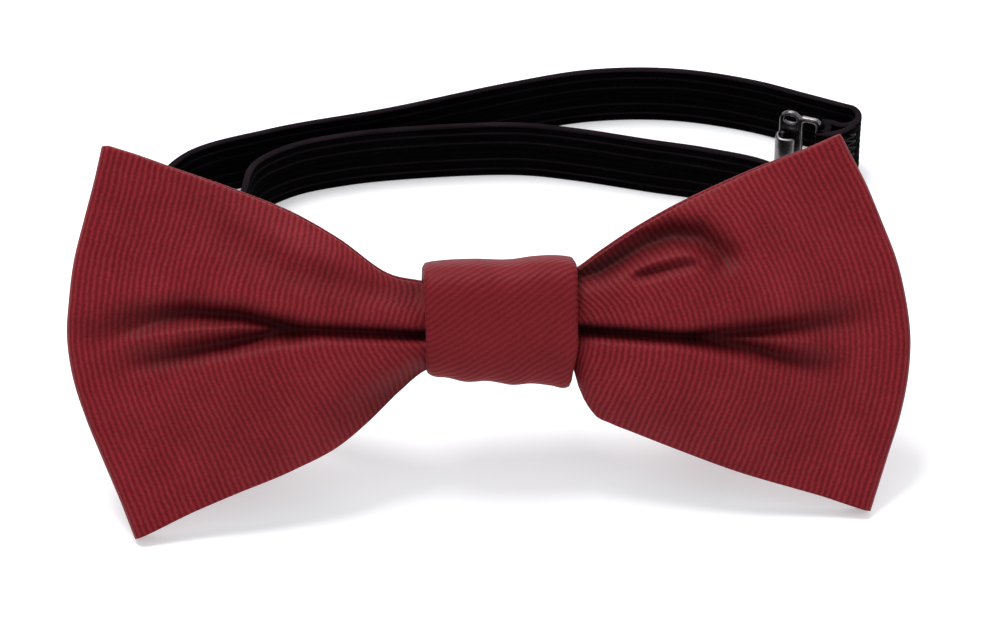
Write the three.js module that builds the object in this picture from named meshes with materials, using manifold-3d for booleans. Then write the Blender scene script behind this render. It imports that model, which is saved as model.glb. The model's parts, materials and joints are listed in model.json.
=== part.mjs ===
// A pre-tied bow tie lying on a table: a folded sleeve of ribbed cloth gathered at the waist,
// a knot wrapped round it, and an elastic neck band that stands on its edge behind the bow,
// unhooked. Units are millimetres, +Z is up, the bow faces -Y.
import * as THREE from 'three';
import { mergeVertices } from 'three/addons/utils/BufferGeometryUtils.js';
import Module from 'manifold-3d';

const wasm = await Module();
wasm.setup();

// ---------- driving dimensions ----------

const BOW_LEAN = THREE.MathUtils.degToRad(36); // how far the bow leans back from upright
const CLEARANCE = 0.3; // between pieces that touch on the real bow tie
const FINE_CLEARANCE = 0.4; // between a strap and the metal that it runs through

// The wings are sewn alike and lie a little differently. Each has its own extra reach, the slant of
// its curved end, how far its top corner hangs, and how full its two long edges are.
const WING_REACH = 59.4; // from the knot's middle to the middle of a curved end
const WING_HEIGHT = 55; // between the corners of a wing
const END_BULGE = 7; // how far a curved end stands out past its corners
const CORNER_DROP = 2; // how far a wing's bottom corner lies below the level of the rest
const LEFT_WING = {
  side: -1, extraReach: 1.4, slant: 1.6, topDrop: 0.9, topFullness: 0.74, bottomFullness: 0.62,
};
const RIGHT_WING = {
  side: 1, extraReach: -1.4, slant: -2, topDrop: 2.5, topFullness: 0.69, bottomFullness: 0.54,
};
const WING_END_THICKNESS = 3.6;
const CLOTH = 1; // one wall of the sleeve: cloth folded over its hem
const BACK_SLIT = 1.4; // where the two ends of the sleeve meet, behind the knot

const WAIST_THICKNESS = 6;
const KNOT_WIDTH = 22;
const KNOT_HEIGHT = 17.6;
const KNOT_CORNER = 3;
const WRAP = 1.4; // wall of the knot's wrap: cloth folded in three
const KNOT_PADDING = 0.8;
const SIDE_PADDING = 0.6;
const THREAD = 0.6;
const TACK = 0.5;
const TACK_SWING = 1.5;
const KNOT_TACK_X = 5;

const BAND_WIDTH = 10;
const BAND_THICKNESS = 1;
const STRAP_END_X = 1; // the straps' sewn ends stop short of the knot's middle

const METAL = 0.8; // hook's sheet
const METAL_RAIL = 1.1;
const HOOK_REACH = 5;
const HOOK_TONGUE = 4.4;
const EYE_BAR = 1;
const EYE_REACH = 6;
const SLIDER_WALL = 0.9;
const SLIDER_LENGTH = 6;

// ---------- sizes that follow ----------

const WAIST_HALF = WAIST_THICKNESS / 2;
const WAIST_HALF_LENGTH = KNOT_WIDTH / 2 + CLEARANCE; // the wings open out past the knot
const BINDING_OUT = CLEARANCE + THREAD; // binding's outside, from the waist
const PADDING_IN = BINDING_OUT + CLEARANCE; // padding's inside, from the waist
const WAIST_HALF_HEIGHT = KNOT_HEIGHT / 2 - WRAP - CLEARANCE - SIDE_PADDING - PADDING_IN;
const WRAP_FRONT = WAIST_HALF + PADDING_IN + KNOT_PADDING + CLEARANCE;
const STRAP_SEAT = WAIST_HALF + BINDING_OUT + CLEARANCE; // the straps' faces towards the waist
const TACK_SEAT = STRAP_SEAT + BAND_THICKNESS + CLEARANCE;
const WRAP_BACK = TACK_SEAT + TACK + CLEARANCE;

const LAYER_GAP = 2 * (EYE_BAR / 2 + 0.5); // air between the two layers of a folded strap end
const FOLD_RADIUS = (LAYER_GAP + BAND_THICKNESS) / 2;
const STANDING_HEIGHT = BAND_WIDTH / 2; // strap's middle where its edge stands on the table
const EYE_HALF_HEIGHT = BAND_WIDTH / 2 + FINE_CLEARANCE + METAL_RAIL;
const CARRIED_HEIGHT = EYE_HALF_HEIGHT + CLEARANCE; // where the metal holds it off the table

// ---------- materials ----------

function cloth(color) {
  return new THREE.MeshStandardMaterial({ color, roughness: 0.72, metalness: 0 });
}

function elastic() {
  return new THREE.MeshStandardMaterial({ color: 0x0d0c0e, roughness: 0.85, metalness: 0 });
}

function nickel() {
  return new THREE.MeshStandardMaterial({ color: 0x8c8a8d, roughness: 0.28, metalness: 1 });
}

const BURGUNDY = 0x762a30;
const BURGUNDY_THREAD = 0x5c1c24;
const FELT = 0xd9d5cc;
const BLACK_THREAD = 0x141315;

// ---------- helpers ----------

function toManifold(geometry) {
  const bare = geometry.clone();
  bare.deleteAttribute('normal');
  bare.deleteAttribute('uv');
  const welded = mergeVertices(bare, 1e-4);
  return new wasm.Manifold(new wasm.Mesh({
    numProp: 3,
    vertProperties: new Float32Array(welded.attributes.position.array),
    triVerts: new Uint32Array(welded.index.array),
  }));
}

function fromManifold(solid) {
  const mesh = solid.getMesh();
  const geometry = new THREE.BufferGeometry();
  geometry.setAttribute('position', new THREE.BufferAttribute(mesh.vertProperties, 3));
  geometry.setIndex(new THREE.BufferAttribute(mesh.triVerts, 1));
  geometry.computeVertexNormals();
  return geometry;
}

function meshOf(name, geometry, material) {
  const mesh = new THREE.Mesh(geometry, material);
  mesh.name = name;
  return mesh;
}

// Skin over rings of equally many points, a multiple of four, closed round each ring and capped at
// both ends by a strip across it.
function skin(rings) {
  const count = rings[0].length;
  const points = rings.flat();
  const index = [];
  for (let r = 0; r < rings.length - 1; r++) {
    for (let k = 0; k < count; k++) {
      const a = r * count + k;
      const b = r * count + ((k + 1) % count);
      index.push(a, b, a + count, b, b + count, a + count);
    }
  }
  const last = (rings.length - 1) * count;
  const quarter = count / 4;
  for (let k = 0; k < count / 2 - 1; k++) {
    const a = (quarter - 1 - k + count) % count;
    const b = quarter + k;
    const c = b + 1;
    const d = (a - 1 + count) % count;
    index.push(a, c, b, a, d, c);
    index.push(last + a, last + b, last + c, last + a, last + c, last + d);
  }
  const geometry = new THREE.BufferGeometry().setFromPoints(points);
  geometry.setIndex(index);
  geometry.computeVertexNormals();
  return geometry;
}

function box(x, y, z, width, depth, height) {
  return new THREE.BoxGeometry(width, depth, height).translate(x, y, z);
}

// A closed outline drawn in depth (y) and height (z), drawn out along x, middle at x = 0.
function alongX(shape, length, bevel = 0) {
  const geometry = new THREE.ExtrudeGeometry(shape, {
    depth: length - 2 * bevel,
    bevelEnabled: bevel > 0,
    bevelThickness: bevel,
    bevelSize: bevel,
    bevelOffset: -bevel,
    bevelSegments: 2,
    curveSegments: 6,
  });
  geometry.translate(0, 0, bevel - length / 2);
  const turn = new THREE.Matrix4().makeBasis(
    new THREE.Vector3(0, 1, 0), new THREE.Vector3(0, 0, 1), new THREE.Vector3(1, 0, 0),
  );
  return geometry.applyMatrix4(turn);
}

// A closed outline drawn in x and height (z), with its thickness centred on y = 0.
function flatPlate(shape, thickness) {
  const options = { depth: thickness, bevelEnabled: false, curveSegments: 6 };
  const geometry = new THREE.ExtrudeGeometry(shape, options);
  return geometry.translate(0, 0, -thickness / 2).rotateX(Math.PI / 2);
}

function roundedRectangle(target, left, bottom, right, top, radius) {
  target.moveTo(left + radius, bottom);
  target.lineTo(right - radius, bottom);
  target.absarc(right - radius, bottom + radius, radius, -Math.PI / 2, 0);
  target.lineTo(right, top - radius);
  target.absarc(right - radius, top - radius, radius, 0, Math.PI / 2);
  target.lineTo(left + radius, top);
  target.absarc(left + radius, top - radius, radius, Math.PI / 2, Math.PI);
  target.lineTo(left, bottom + radius);
  target.absarc(left + radius, bottom + radius, radius, Math.PI, 1.5 * Math.PI);
  return target;
}

// Six-sided thread on a smooth run through the points.
function threadAlong(points, thickness, steps) {
  const section = new THREE.Shape();
  section.absarc(0, 0, thickness / 2, 0, 2 * Math.PI);
  const path = new THREE.CatmullRomCurve3(points);
  return new THREE.ExtrudeGeometry(section, { steps, extrudePath: path, curveSegments: 3 });
}

// ---------- the bow's sleeve ----------

const WING_RINGS = 14;
const FACE_ROWS = 14; // points up each face of the flattened sleeve
const FOLD_ROUNDING = 0.88; // how far the section thins towards the folds at its top and bottom

// The rows of a section, anticlockwise seen from +x: up the back from the middle, down the front,
// and up the back again.
function sectionRows() {
  const half = (FACE_ROWS - 1) / 2;
  const rows = [];
  for (let k = 0; k < FACE_ROWS; k++) {
    rows.push({ height: (half - k) / half, side: -1 });
  }
  const back = rows.map(({ height }) => ({ height: -height, side: 1 }));
  return [...back.slice(FACE_ROWS / 2), ...rows, ...back.slice(0, FACE_ROWS / 2)];
}

// Height of a wing's long edge at a share of the way from the waist to its corner.
function edgeHeight(share, cornerHeight, fullness) {
  return WAIST_HALF_HEIGHT + (cornerHeight - WAIST_HALF_HEIGHT) * share ** fullness;
}

// One ring of the sleeve, inset by the given depth from its outside.
function sleeveRing(wing, share, inset) {
  const ring = [];
  const settle = THREE.MathUtils.smoothstep(share, 0, 1);
  const halfThickness = THREE.MathUtils.lerp(WAIST_HALF, WING_END_THICKNESS / 2, settle) - inset;
  const cornerX = WING_REACH + wing.extraReach - END_BULGE;
  for (const { height: v, side } of sectionRows()) {
    const corner = v > 0 ? WING_HEIGHT / 2 - wing.topDrop : WING_HEIGHT / 2 + CORNER_DROP;
    const fullness = v > 0 ? wing.topFullness : wing.bottomFullness;
    const height = edgeHeight(share, corner, fullness) - inset;
    const reach = cornerX + (wing.slant * v) / 2 + END_BULGE * (1 - v * v) - inset;
    const x = THREE.MathUtils.lerp(WAIST_HALF_LENGTH + inset, reach, share);
    const depth = side * halfThickness * Math.sqrt(1 - FOLD_ROUNDING * v ** 6);
    ring.push(new THREE.Vector3(wing.side * x, depth, v * height));
  }
  return ring;
}

function sleeveSolid(inset) {
  const shares = Array.from({ length: WING_RINGS }, (_, k) => (k / (WING_RINGS - 1)) ** 1.3);
  const left = shares.map((share) => sleeveRing(LEFT_WING, share, inset)).reverse();
  const right = shares.map((share) => sleeveRing(RIGHT_WING, share, inset));
  return skin([...left, ...right]);
}

function bowFabric() {
  const slit = box(0, WAIST_HALF, 0, BACK_SLIT, 2 * CLOTH + 0.2, 2 * (WAIST_HALF_HEIGHT - CLOTH));
  const hollow = toManifold(sleeveSolid(CLOTH)).add(toManifold(slit));
  return fromManifold(toManifold(sleeveSolid(0)).subtract(hollow));
}

function bowBackSeam() {
  const points = [];
  const half = WAIST_HALF_HEIGHT - 2 * CLOTH;
  const stitches = 6;
  const swing = BACK_SLIT / 2 - CLEARANCE - THREAD / 2;
  for (let k = 0; k <= stitches; k++) {
    const x = k % 2 ? swing : -swing;
    points.push(new THREE.Vector3(x, WAIST_HALF - CLOTH / 2, -half + (2 * half * k) / stitches));
  }
  return threadAlong(points, THREAD, 24);
}

// Thread wound round the gathered waist, a helix of squarish turns.
function waistBinding() {
  const squareness = 0.42;
  const squared = (value) => Math.sign(value) * Math.abs(value) ** squareness;
  const turns = 3;
  const perTurn = 24;
  const points = [];
  const depth = WAIST_HALF + CLEARANCE + THREAD / 2;
  const height = WAIST_HALF_HEIGHT + CLEARANCE + THREAD / 2;
  const pitch = 3;
  for (let k = 0; k <= turns * perTurn; k++) {
    const angle = (2 * Math.PI * k) / perTurn;
    const x = pitch * (k / perTurn - turns / 2);
    points.push(new THREE.Vector3(x, depth * squared(Math.cos(angle)), height * squared(Math.sin(angle))));
  }
  return threadAlong(points, THREAD, turns * 28);
}

// ---------- the knot ----------

function knotWrap() {
  const half = KNOT_HEIGHT / 2;
  const shape = roundedRectangle(
    new THREE.Shape(), -WRAP_FRONT - WRAP, -half, WRAP_BACK + WRAP, half, KNOT_CORNER,
  );
  shape.holes.push(roundedRectangle(
    new THREE.Path(), -WRAP_FRONT, WRAP - half, WRAP_BACK, half - WRAP, KNOT_CORNER - WRAP,
  ));
  return alongX(shape, KNOT_WIDTH, 0.4);
}

// A C of felt round the front and the two sides of the gathered waist.
function knotPadding() {
  const out = KNOT_HEIGHT / 2 - WRAP - CLEARANCE;
  const inner = out - SIDE_PADDING;
  const front = -WRAP_FRONT + CLEARANCE;
  const back = WAIST_HALF;
  const radius = KNOT_CORNER - WRAP;
  const shape = new THREE.Shape();
  shape.moveTo(back, -out);
  shape.lineTo(back, -inner);
  shape.lineTo(front + KNOT_PADDING, -inner);
  shape.lineTo(front + KNOT_PADDING, inner);
  shape.lineTo(back, inner);
  shape.lineTo(back, out);
  shape.lineTo(front + radius, out);
  shape.absarc(front + radius, out - radius, radius, Math.PI / 2, Math.PI);
  shape.lineTo(front, radius - out);
  shape.absarc(front + radius, radius - out, radius, Math.PI, 1.5 * Math.PI);
  return alongX(shape, KNOT_WIDTH - 2);
}

// Slip stitches that close the wrap, along the lower edge of its back.
function knotSeam() {
  const stitches = 10;
  const length = KNOT_WIDTH - 5;
  const height = -(KNOT_HEIGHT / 2 - KNOT_CORNER - 1);
  const depth = WRAP_BACK + WRAP + CLEARANCE + THREAD / 2;
  const points = [];
  for (let k = 0; k <= stitches; k++) {
    points.push(new THREE.Vector3(length * (k / stitches - 0.5), depth, height + (k % 2 ? 0.4 : -0.4)));
  }
  return threadAlong(points, THREAD, 30);
}

// A tack across a strap: one flat zigzag cord, up the strap's width.
function tackGeometry() {
  const stitches = 8;
  const length = BAND_WIDTH - 2;
  const half = TACK_SWING / 2;
  const points = [];
  for (let k = 0; k <= stitches; k++) {
    points.push(new THREE.Vector3(k % 2 ? half : -half, 0, length * (k / stitches - 0.5)));
  }
  return threadAlong(points, TACK, stitches * 3);
}

// ---------- the neck band ----------

const bow = new THREE.Group();
bow.rotation.x = -BOW_LEAN;
const bowUp = new THREE.Vector3(0, Math.sin(BOW_LEAN), Math.cos(BOW_LEAN));
const tableUp = new THREE.Vector3(0, 0, 1);

// The bow's lowest corner stands on the table, which sets the knot's height.
const outside = sleeveSolid(0).applyMatrix4(new THREE.Matrix4().makeRotationX(-BOW_LEAN));
outside.computeBoundingBox();
const knotCentreHeight = -outside.boundingBox.min.z;
bow.position.z = knotCentreHeight;
bow.updateMatrixWorld(true);

function inKnot(x) {
  return bow.localToWorld(new THREE.Vector3(x, STRAP_SEAT + BAND_THICKNESS / 2, 0));
}

// Height of a strap's middle, a share of the way down from the knot to the table.
function descent(share) {
  return THREE.MathUtils.lerp(inKnot(0).z, STANDING_HEIGHT, share);
}

// Evenly spaced points on the smooth run through the given ones, none below the standing height.
function spaced(points, step) {
  const curve = new THREE.CatmullRomCurve3(points, false, 'centripetal');
  const middles = curve.getSpacedPoints(Math.round(curve.getLength() / step));
  middles.forEach((middle) => middle.setZ(Math.max(middle.z, STANDING_HEIGHT)));
  return middles;
}

function polar(centre, radius, degrees, z) {
  const angle = THREE.MathUtils.degToRad(degrees);
  return new THREE.Vector3(centre.x + radius * Math.cos(angle), centre.y + radius * Math.sin(angle), z);
}

const TURN_STEPS = 12;
const FOLD_STEPS = 8;
const HEM_STEPS = 5;
const STATION = 3; // spacing of the strap's sections along its smooth runs

// Flat strap through the middle points, its width turning from the bow's lean to upright.
function strap(middles) {
  const twistLength = 55;
  let run = 0;
  const rings = middles.map((middle, k) => {
    const before = middles[Math.max(k - 1, 0)];
    const after = middles[Math.min(k + 1, middles.length - 1)];
    run += middle.distanceTo(before);
    const along = after.clone().sub(before).normalize();
    const share = THREE.MathUtils.smoothstep(run, KNOT_WIDTH / 2, twistLength);
    const across = bowUp.clone().lerp(tableUp, share);
    across.addScaledVector(along, -across.dot(along)).normalize().multiplyScalar(BAND_WIDTH / 2);
    const through = along.clone().cross(across).normalize().multiplyScalar(BAND_THICKNESS / 2);
    return [[1, 1], [-1, 1], [-1, -1], [1, -1]].map(([a, t]) => (
      middle.clone().addScaledVector(across, a).addScaledVector(through, t)
    ));
  });
  return skin(rings);
}

// Left strap: out of the knot, round behind the left wing, along the far side to the right,
// and round a tight turn to the hook.
const HOOK_TURN = { centre: new THREE.Vector2(55.1, 61.6), radius: 4, from: 67, to: -112 };
const hookTurnEnd = THREE.MathUtils.degToRad(HOOK_TURN.to);
const hookDirection = new THREE.Vector2(Math.sin(hookTurnEnd), -Math.cos(hookTurnEnd));
const hookOutward = new THREE.Vector2(Math.cos(hookTurnEnd), Math.sin(hookTurnEnd));
const HOOK_STRAIGHT = 1; // from the turn's end to the hook's bar
const HEM_SPACING = BAND_THICKNESS + CLEARANCE;
const HEM_SHARE = 0.76; // where the tack lies along the folded end
const HEM_ANGLE = 50; // stretch of the turn that the folded end covers
const hookBar = HOOK_TURN.centre.clone()
  .addScaledVector(hookOutward, HOOK_TURN.radius + FOLD_RADIUS)
  .addScaledVector(hookDirection, HOOK_STRAIGHT);

// Distance of the folded end's middle from the turn's centre, closing in on the strap.
function hemRadius(share) {
  return HOOK_TURN.radius + THREE.MathUtils.lerp(2 * FOLD_RADIUS, HEM_SPACING, share);
}

function leftStrapMiddles() {
  const smooth = [
    inKnot(-STRAP_END_X),
    inKnot(-KNOT_WIDTH / 3),
    inKnot(-KNOT_WIDTH / 2 - 2),
    new THREE.Vector3(-25, 7, descent(0.18)),
    new THREE.Vector3(-38.5, 13.5, descent(0.5)),
    new THREE.Vector3(-48.5, 24, descent(0.84)),
    new THREE.Vector3(-51.8, 34.8, descent(1)),
    new THREE.Vector3(-51, 46.8, STANDING_HEIGHT),
    new THREE.Vector3(-45, 57.6, STANDING_HEIGHT),
    new THREE.Vector3(-31.9, 62.9, STANDING_HEIGHT),
    new THREE.Vector3(-13.2, 67.1, STANDING_HEIGHT),
    new THREE.Vector3(5.7, 72.3, STANDING_HEIGHT),
    new THREE.Vector3(18.3, 74.8, STANDING_HEIGHT),
    new THREE.Vector3(30.9, 74.4, STANDING_HEIGHT),
    new THREE.Vector3(43.1, 70.9, STANDING_HEIGHT),
    new THREE.Vector3(51, 67.7, THREE.MathUtils.lerp(STANDING_HEIGHT, CARRIED_HEIGHT, 0.5)),
    polar(HOOK_TURN.centre, HOOK_TURN.radius, HOOK_TURN.from, CARRIED_HEIGHT),
  ];
  const middles = spaced(smooth, STATION);
  for (let k = 1; k <= TURN_STEPS; k++) {
    const degrees = THREE.MathUtils.lerp(HOOK_TURN.from, HOOK_TURN.to, k / TURN_STEPS);
    middles.push(polar(HOOK_TURN.centre, HOOK_TURN.radius, degrees, CARRIED_HEIGHT));
  }
  for (let k = 0; k <= FOLD_STEPS; k++) {
    const degrees = THREE.MathUtils.lerp(HOOK_TURN.to + 180, HOOK_TURN.to, k / FOLD_STEPS);
    middles.push(polar(hookBar, FOLD_RADIUS, degrees, CARRIED_HEIGHT));
  }
  for (let k = 1; k <= HEM_STEPS; k++) {
    const share = k / HEM_STEPS;
    middles.push(polar(HOOK_TURN.centre, hemRadius(share), HOOK_TURN.to + HEM_ANGLE * share, CARRIED_HEIGHT));
  }
  return middles;
}

// Right strap: out of the knot, round behind the right wing, along the near side to the left,
// and forward again behind the left wing, doubled back through the slider.
const RETURN_X = -36.3;
const RETURN_FROM = 45.8;
const EYE_Y = 24.8;
const TAIL_END = 44.3;
const eyeBar = new THREE.Vector2(RETURN_X - FOLD_RADIUS, EYE_Y);

function rightStrapMiddles() {
  const smooth = [
    inKnot(STRAP_END_X),
    inKnot(KNOT_WIDTH / 3),
    inKnot(KNOT_WIDTH / 2 + 2),
    new THREE.Vector3(25, 7, descent(0.18)),
    new THREE.Vector3(38, 14, descent(0.5)),
    new THREE.Vector3(47.5, 24, descent(0.84)),
    new THREE.Vector3(51, 32.8, descent(1)),
    new THREE.Vector3(50.5, 42.3, STANDING_HEIGHT),
    new THREE.Vector3(44.2, 50.4, STANDING_HEIGHT),
    new THREE.Vector3(35.4, 54.3, STANDING_HEIGHT),
    new THREE.Vector3(26.3, 57, STANDING_HEIGHT),
    new THREE.Vector3(15, 60.4, STANDING_HEIGHT),
    new THREE.Vector3(6.6, 62.2, STANDING_HEIGHT),
    new THREE.Vector3(-6.5, 62.8, STANDING_HEIGHT),
    new THREE.Vector3(-20.4, 61.8, STANDING_HEIGHT),
    new THREE.Vector3(-29.5, 59.4, STANDING_HEIGHT),
    new THREE.Vector3(-34.5, 54.8, THREE.MathUtils.lerp(STANDING_HEIGHT, CARRIED_HEIGHT, 0.3)),
    new THREE.Vector3(RETURN_X, RETURN_FROM, CARRIED_HEIGHT),
  ];
  const middles = spaced(smooth, STATION);
  middles.push(new THREE.Vector3(RETURN_X, (RETURN_FROM + EYE_Y) / 2, CARRIED_HEIGHT));
  for (let k = 0; k <= FOLD_STEPS; k++) {
    middles.push(polar(eyeBar, FOLD_RADIUS, THREE.MathUtils.lerp(0, -180, k / FOLD_STEPS), CARRIED_HEIGHT));
  }
  middles.push(new THREE.Vector3(eyeBar.x - FOLD_RADIUS, (EYE_Y + TAIL_END) / 2, CARRIED_HEIGHT));
  middles.push(new THREE.Vector3(eyeBar.x - FOLD_RADIUS, TAIL_END, CARRIED_HEIGHT));
  return middles;
}

// ---------- the band's metal ----------

const SLOT = FOLD_RADIUS + BAND_THICKNESS / 2 + FINE_CLEARANCE; // far side of the strap's slot
const SLOT_HALF = BAND_WIDTH / 2 + FINE_CLEARANCE;

// Sheet-metal hook: the strap's bar at x = 0, a slot, a plate, and a tongue bent back in front.
function hookGeometry() {
  const bar = METAL / 2;
  const height = SLOT_HALF + METAL_RAIL;
  const frame = roundedRectangle(new THREE.Shape(), -bar, -height, HOOK_REACH, height, 1);
  frame.holes.push(roundedRectangle(new THREE.Path(), bar, -SLOT_HALF, SLOT, SLOT_HALF, 0.4));
  const gap = EYE_BAR / 2 + 0.2;
  const middle = -bar - gap;
  const tip = SLOT + 0.5;
  const profile = new THREE.Shape();
  profile.moveTo(HOOK_REACH - 1, bar);
  profile.lineTo(HOOK_REACH - 1, -bar);
  profile.lineTo(HOOK_REACH, -bar);
  profile.absarc(HOOK_REACH, middle, gap, Math.PI / 2, -Math.PI / 2, true);
  profile.lineTo(tip, middle - gap);
  profile.lineTo(tip, middle - gap - METAL);
  profile.lineTo(HOOK_REACH, middle - gap - METAL);
  profile.absarc(HOOK_REACH, middle, gap + METAL, -Math.PI / 2, Math.PI / 2);
  const tongue = new THREE.ExtrudeGeometry(profile, { depth: HOOK_TONGUE, bevelEnabled: false });
  tongue.translate(0, 0, -HOOK_TONGUE / 2).rotateX(Math.PI);
  return fromManifold(toManifold(flatPlate(frame, METAL)).add(toManifold(tongue)));
}

// Flat eye that the hook catches, its bar at x = 0.
function eyeGeometry() {
  const bar = EYE_BAR / 2;
  const shape = roundedRectangle(new THREE.Shape(), -bar, -EYE_HALF_HEIGHT, EYE_REACH, EYE_HALF_HEIGHT, 1.2);
  shape.holes.push(roundedRectangle(
    new THREE.Path(), bar, -SLOT_HALF, EYE_REACH - EYE_BAR, SLOT_HALF, 0.4,
  ));
  return flatPlate(shape, EYE_BAR);
}

// Slider: a flat sleeve with a web between the strap's two layers, drawn out along the strap.
function sliderGeometry() {
  const pocket = BAND_THICKNESS + 2 * CLEARANCE;
  const web = LAYER_GAP / 2 - CLEARANCE;
  const width = web + pocket + SLIDER_WALL;
  const height = SLOT_HALF + SLIDER_WALL;
  const shape = roundedRectangle(new THREE.Shape(), -width, -height, width, height, 0.7);
  for (const left of [-web - pocket, web]) {
    shape.holes.push(roundedRectangle(new THREE.Path(), left, -SLOT_HALF, left + pocket, SLOT_HALF, 0.2));
  }
  return flatPlate(shape, SLIDER_LENGTH);
}

// ---------- assembly ----------

bow.add(
  meshOf('bow_fabric', bowFabric(), cloth(BURGUNDY)),
  meshOf('bow_interlining', sleeveSolid(CLOTH + CLEARANCE), cloth(FELT)),
  meshOf('bow_back_seam', bowBackSeam(), cloth(BURGUNDY_THREAD)),
  meshOf('waist_binding_thread', waistBinding(), cloth(BURGUNDY_THREAD)),
  meshOf('knot_wrap', knotWrap(), cloth(BURGUNDY)),
  meshOf('knot_interlining', knotPadding(), cloth(FELT)),
  meshOf('knot_seam_thread', knotSeam(), cloth(BURGUNDY_THREAD)),
);

for (const [name, side] of [['band_tack_left', -1], ['band_tack_right', 1]]) {
  const tack = meshOf(name, tackGeometry(), cloth(BLACK_THREAD));
  tack.position.set(side * KNOT_TACK_X, TACK_SEAT + TACK / 2, 0);
  bow.add(tack);
}

const band = new THREE.Group();
band.add(
  meshOf('band_left', strap(leftStrapMiddles()), elastic()),
  meshOf('band_right', strap(rightStrapMiddles()), elastic()),
);

const hook = meshOf('hook', hookGeometry(), nickel());
hook.position.set(hookBar.x, hookBar.y, CARRIED_HEIGHT);
hook.rotation.z = Math.atan2(hookDirection.y, hookDirection.x);

const hookTack = meshOf('hook_fold_tack', tackGeometry(), cloth(BLACK_THREAD));
const hookTackAngle = HOOK_TURN.to + HEM_ANGLE * HEM_SHARE;
hookTack.position.copy(polar(
  HOOK_TURN.centre,
  hemRadius(HEM_SHARE) + BAND_THICKNESS / 2 + FINE_CLEARANCE + TACK / 2,
  hookTackAngle,
  CARRIED_HEIGHT,
));
hookTack.rotation.z = THREE.MathUtils.degToRad(hookTackAngle + 90);

const eye = meshOf('eye', eyeGeometry(), nickel());
eye.position.set(eyeBar.x, eyeBar.y, CARRIED_HEIGHT);
eye.rotation.z = -Math.PI / 2;

const SLIDER_Y = 35.3;
const slider = meshOf('slider', sliderGeometry(), nickel());
slider.position.set(eyeBar.x, SLIDER_Y, CARRIED_HEIGHT);

const tailTack = meshOf('band_end_tack', tackGeometry(), cloth(BLACK_THREAD));
tailTack.position.set(
  eyeBar.x - FOLD_RADIUS - BAND_THICKNESS / 2 - CLEARANCE - TACK / 2, TAIL_END - TACK_SWING, CARRIED_HEIGHT,
);
tailTack.rotation.z = Math.PI / 2;

band.add(hook, hookTack, eye, slider, tailTack);

// The origin is under the middle of the whole tie, on the table.
const bowTie = new THREE.Group();
bowTie.add(bow, band);
const extent = new THREE.Box3().setFromObject(bowTie, true);
const middle = extent.getCenter(new THREE.Vector3());
bow.position.x -= middle.x;
bow.position.y -= middle.y;
band.position.set(-middle.x, -middle.y, 0);

export default bowTie;
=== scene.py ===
"""Bow tie on a pale table: ribbed burgundy cloth, black elastic and dark nickel round the CAD frame."""
import json
import math

import bmesh
import bpy
import numpy as np
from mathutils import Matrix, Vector


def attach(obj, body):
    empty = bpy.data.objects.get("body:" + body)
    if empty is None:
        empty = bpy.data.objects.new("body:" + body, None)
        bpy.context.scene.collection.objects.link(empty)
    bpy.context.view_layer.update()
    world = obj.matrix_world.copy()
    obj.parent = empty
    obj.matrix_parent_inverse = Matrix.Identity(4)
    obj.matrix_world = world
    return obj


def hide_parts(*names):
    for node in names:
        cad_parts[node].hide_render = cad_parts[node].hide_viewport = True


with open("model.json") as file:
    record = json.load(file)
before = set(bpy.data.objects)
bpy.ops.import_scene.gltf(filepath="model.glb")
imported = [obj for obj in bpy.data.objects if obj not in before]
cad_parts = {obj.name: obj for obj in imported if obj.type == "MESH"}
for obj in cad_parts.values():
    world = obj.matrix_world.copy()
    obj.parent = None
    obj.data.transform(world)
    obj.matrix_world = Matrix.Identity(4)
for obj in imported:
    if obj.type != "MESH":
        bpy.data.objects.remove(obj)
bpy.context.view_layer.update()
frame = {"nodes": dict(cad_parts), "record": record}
scene = bpy.context.scene

# ---------------------------------------------------------------- driving values, in millimetres

MM = 0.001
KNOT_BACK_DEPTH = 7.7  # from the knot's middle to the flat of its back
MOUNT_HEIGHT = 1.5  # how far the knot_back mount lies above the knot's middle

END_RADIUS = 1.4  # half the thickness of a wing at its end fold
CLOTH = 1.0  # folded double cloth with its stiffening
THINNEST = CLOTH + 0.15  # half a wing where a pleat has pressed it flat
KNOT_HALF_WIDTH = 11
RIB = 0.87  # one rib of the cloth

BAND_WIDTH = 10
BAND_THICKNESS = 1
BAND_RIBS = 9
STANDING = 5  # height of a strap's middle where its edge stands on the table
CARRIED = 6.8  # and where the metal carries it
FOLD_RADIUS = 1.5

# ---------------------------------------------------------------- axes of the bow

mount = next(m for m in frame["record"]["mounts"] if m["name"] == "knot_back")
RIGHT = np.array([1.0, 0.0, 0.0])
BACK = np.array(mount["axis"]) / np.linalg.norm(mount["axis"])
UP = np.cross(RIGHT, BACK)
KNOT = np.array(mount["pos_m"]) - (BACK * KNOT_BACK_DEPTH + UP * MOUNT_HEIGHT) * MM
TABLE_UP = np.array([0.0, 0.0, 1.0])


def on_bow(points):
    """Points given along the bow's width, depth and height, in mm, as places in metres."""
    points = np.asarray(points, float)
    return KNOT + (points[..., :1] * RIGHT + points[..., 1:2] * BACK + points[..., 2:] * UP) * MM


def on_table(points):
    """Points given from the spot below the knot, in mm, as places in metres."""
    return np.asarray(points, float) * MM + KNOT * [1, 1, 0]


def smooth_through(points, at):
    """Height at each place of a smooth curve through points sorted by place."""
    x, y = np.array(points, float).T
    slope = np.gradient(y, x)
    k = np.clip(np.searchsorted(x, at) - 1, 0, len(x) - 2)
    step = x[k + 1] - x[k]
    t = np.clip((at - x[k]) / step, 0, 1)
    return (
        (2 * t**3 - 3 * t**2 + 1) * y[k]
        + (t**3 - 2 * t**2 + t) * step * slope[k]
        + (3 * t**2 - 2 * t**3) * y[k + 1]
        + (t**3 - t**2) * step * slope[k + 1]
    )


def smoothstep(value, low, high):
    t = np.clip((value - low) / (high - low), 0, 1)
    return t * t * (3 - 2 * t)


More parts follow.
